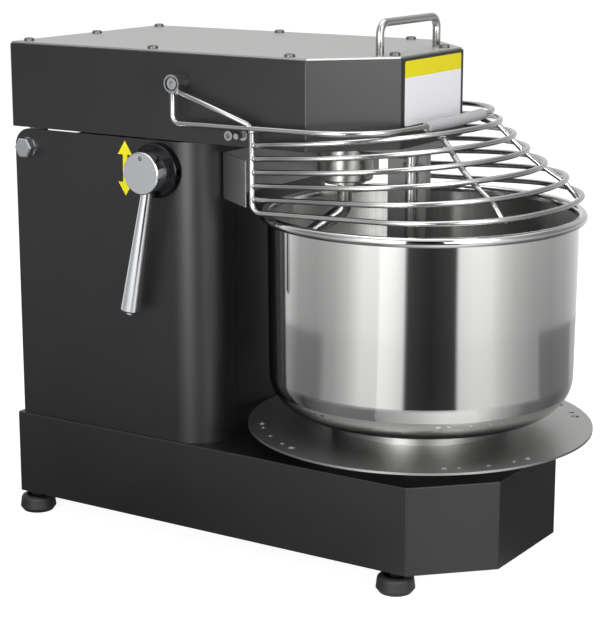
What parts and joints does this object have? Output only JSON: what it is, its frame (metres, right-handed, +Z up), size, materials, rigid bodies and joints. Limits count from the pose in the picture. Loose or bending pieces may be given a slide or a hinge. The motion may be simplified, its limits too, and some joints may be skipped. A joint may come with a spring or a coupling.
{
  "type": "spiral dough mixer",
  "caption": "Bench-top tilt-head spiral dough mixer with a stainless bowl on a turntable, a hinged wire guard, a lock lever and a black sheet-steel body.",
  "frame": {"origin": "on the floor under the middle of the whole machine, in its middle plane", "axes": "+Z up, the bowl end faces -Y, +X is the machine's left seen from the bowl end"},
  "size_m": [0.312, 0.5424, 0.4876],
  "materials": {
    "black_coat": "satin black powder coat",
    "brushed_stainless": "brushed stainless steel",
    "polished_stainless": "polished stainless steel",
    "chrome_plate": "chrome plate",
    "dark_steel": "oiled machined steel",
    "zinc_steel": "zinc plated steel",
    "motor_housing": "grey enamel",
    "black_rubber": "matt",
    "grey_sleeve": "matt grey",
    "black_plastic": "fine matt",
    "green_plastic": "gloss",
    "red_plastic": "gloss",
    "yellow_label": "satin printed film",
    "panel_film": "satin film on aluminium",
    "circuit_board": "epoxy board"
  },
  "bodies": {
    "base": {"base_shell": "black_coat", "base_bottom_plate": "zinc_steel", "foot_pads": "black_rubber", "foot_studs": "zinc_steel", "turntable_housing": "dark_steel", "turntable_bearings": "dark_steel", "bowl_belt": "black_rubber", "gear_motor_plate": "zinc_steel", "bowl_gear_motor": "motor_housing", "column_shell": "black_coat", "column_back_cover": "black_coat", "back_cover_screws": "zinc_steel", "column_top_brace": "zinc_steel", "cable_gland": "black_plastic", "rear_shield": "brushed_stainless", "arrow_label": "yellow_label", "hinge_bolts": "zinc_steel", "hinge_bushes": "dark_steel", "lock_collar": "dark_steel", "control_panel": "panel_film", "control_board": "circuit_board"},
    "turntable": {"turntable_shaft": "dark_steel", "turntable_disc": "brushed_stainless", "drive_pins": "dark_steel", "bowl_pulley": "dark_steel", "bowl": "polished_stainless", "bowl_foot_ring": "polished_stainless"},
    "gear_motor_rotor": {"gear_motor_pulley": "dark_steel"},
    "head": {"head_shell": "black_coat", "chassis_plate": "zinc_steel", "top_cover": "brushed_stainless", "cover_screws": "zinc_steel", "lift_handle": "polished_stainless", "front_label": "yellow_label", "spindle_housing": "polished_stainless", "spindle_bearings": "dark_steel", "spindle_belt": "black_rubber", "spiral_motor": "motor_housing", "breaker_bracket": "brushed_stainless", "breaker_bar": "brushed_stainless", "breaker_rod": "polished_stainless", "striker": "dark_steel", "guard_screws": "zinc_steel", "guard_stops": "zinc_steel"},
    "spindle": {"spindle_shaft": "polished_stainless", "spindle_pulley": "dark_steel", "spiral_hook": "polished_stainless"},
    "spiral_motor_rotor": {"motor_pulley": "dark_steel"},
    "guard": {"guard_frame": "polished_stainless", "guard_lower_ring": "polished_stainless", "guard_rings": "polished_stainless", "guard_struts": "polished_stainless", "guard_bushes": "polished_stainless", "grip_sleeve": "grey_sleeve"},
    "lock": {"lock_hub": "chrome_plate", "lock_lever": "chrome_plate", "lock_hook": "dark_steel"},
    "timer": {"timer_knob": "black_plastic"},
    "start": {"start_button": "green_plastic"},
    "stop": {"stop_button": "red_plastic"}
  },
  "joints": [
    {"name": "head_tilt", "type": "hinge", "parent": "base", "child": "head", "pos_m": [0, 0.241, 0.36], "axis": [-1, 0, 0], "range_deg": [0, 45]},
    {"name": "guard_lift", "type": "hinge", "parent": "head", "child": "guard", "pos_m": [0, 0.0625, 0.4305], "axis": [-1, 0, 0], "range_deg": [0, 85]},
    {"name": "lock_turn", "type": "hinge", "parent": "base", "child": "lock", "pos_m": [-0.131, 0.091, 0.3507], "axis": [1, 0, 0], "range_deg": [0, 120]},
    {"name": "spindle_spin", "type": "hinge", "parent": "head", "child": "spindle", "pos_m": [0, -0.0346, 0.34], "axis": [0, 0, 1], "continuous": true},
    {"name": "spiral_motor_spin", "type": "hinge", "parent": "head", "child": "spiral_motor_rotor", "pos_m": [0, 0.13, 0.4], "axis": [0, 0, 1], "continuous": true},
    {"name": "turntable_spin", "type": "hinge", "parent": "base", "child": "turntable", "pos_m": [0, -0.1153, 0.12], "axis": [0, 0, 1], "continuous": true},
    {"name": "gear_motor_spin", "type": "hinge", "parent": "base", "child": "gear_motor_rotor", "pos_m": [0, 0.15, 0.05], "axis": [0, 0, 1], "continuous": true},
    {"name": "timer_turn", "type": "hinge", "parent": "base", "child": "timer", "pos_m": [0.115, 0.15, 0.292], "axis": [-1, 0, 0], "range_deg": [0, 300]},
    {"name": "start_press", "type": "slide", "parent": "base", "child": "start", "axis": [-1, 0, 0], "range_m": [0, 0.003], "stiffness_N_per_m": 600, "springref_m": -0.002},
    {"name": "stop_press", "type": "slide", "parent": "base", "child": "stop", "axis": [-1, 0, 0], "range_m": [0, 0.003], "stiffness_N_per_m": 600, "springref_m": -0.002}
  ],
  "couplings": [
    {"joint": "spiral_motor_spin", "follows": "spindle_spin", "ratio": 5},
    {"joint": "gear_motor_spin", "follows": "turntable_spin", "ratio": 3.75}
  ]
}
